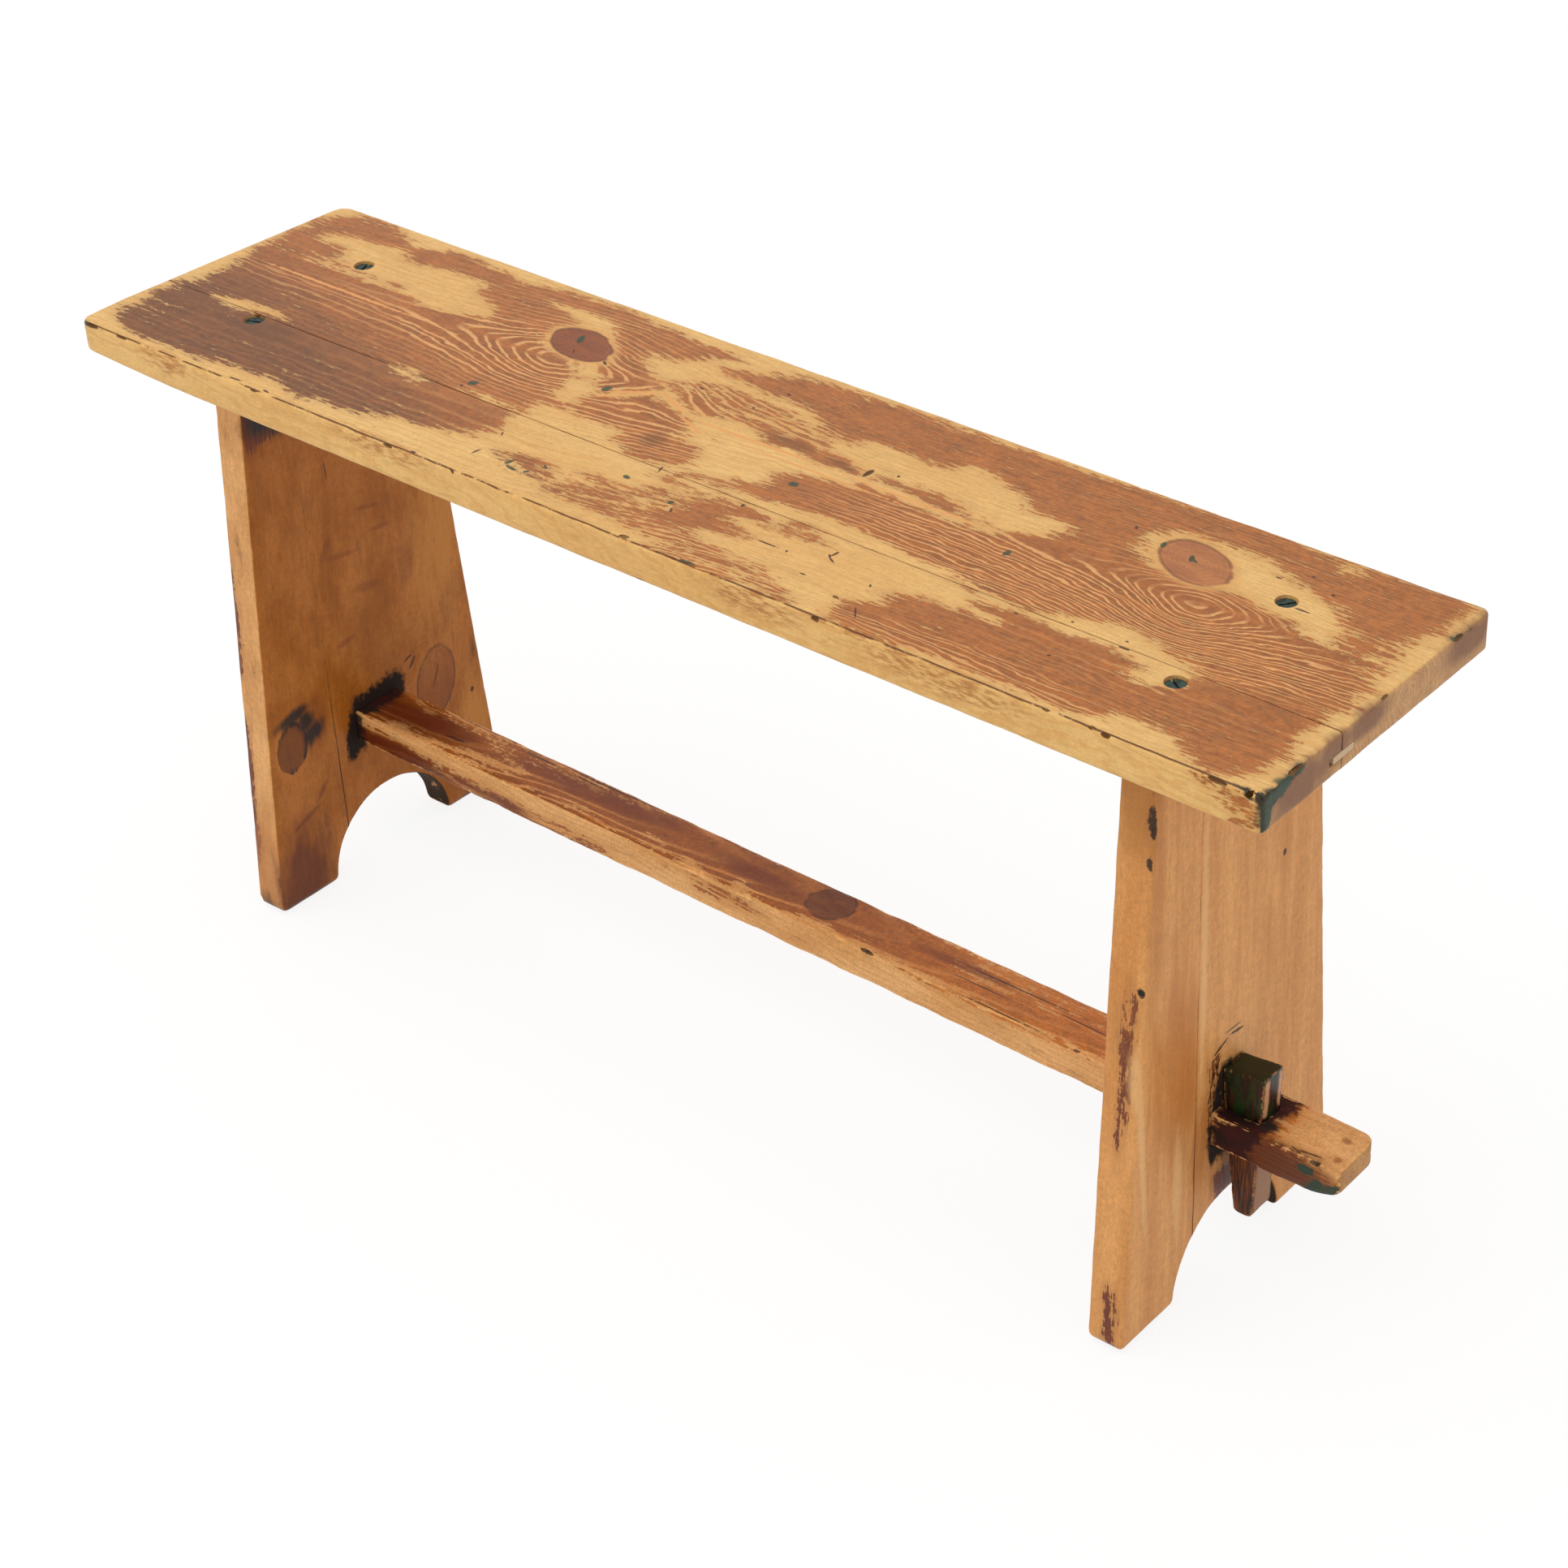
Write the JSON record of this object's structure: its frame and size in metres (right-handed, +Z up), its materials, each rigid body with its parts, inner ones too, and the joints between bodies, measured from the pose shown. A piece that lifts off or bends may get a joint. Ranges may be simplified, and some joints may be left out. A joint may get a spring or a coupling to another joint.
{
  "type": "wooden bench",
  "caption": "Pine plank bench with board legs cut to arched feet and a low stretcher whose through tenons are locked by driven wedges.",
  "frame": {"origin": "on the floor, under the middle of the seat", "axes": "+X along the seat towards the right leg, +Y towards the rear edge, +Z up"},
  "size_m": [1.004, 0.244, 0.475],
  "materials": {
    "seat_pine": "sanded honey pine with worn patches of red-brown stain, satin",
    "leg_pine": "orange-brown waxed pine, satin",
    "stretcher_pine": "red-brown stain worn through to pale pine, satin",
    "wedge_paint": "dark green paint over wood, chipped, semi-gloss",
    "tongue_wood": "bare pale wood, matt",
    "painted_screw": "thick teal green paint over steel, semi-gloss"
  },
  "bodies": {
    "bench": {"seat_front_board": "seat_pine", "seat_rear_board": "seat_pine", "seat_tongue": "tongue_wood", "seat_screw_left_front": "painted_screw", "seat_screw_left_rear": "painted_screw", "seat_screw_right_rear": "painted_screw", "seat_screw_right_front": "painted_screw", "left_leg_front_board": "leg_pine", "left_leg_rear_board": "leg_pine", "left_leg_tongue": "tongue_wood", "right_leg_front_board": "leg_pine", "right_leg_rear_board": "leg_pine", "right_leg_tongue": "tongue_wood", "stretcher": "stretcher_pine"},
    "left_wedge": {"left_wedge": "wedge_paint"},
    "right_wedge": {"right_wedge": "wedge_paint"}
  },
  "joints": [
    {"name": "left_wedge_draw", "type": "slide", "parent": "bench", "child": "left_wedge", "axis": [0, 0, 1], "range_m": [0, 0.08]},
    {"name": "right_wedge_draw", "type": "slide", "parent": "bench", "child": "right_wedge", "axis": [0, 0, 1], "range_m": [0, 0.08]}
  ]
}
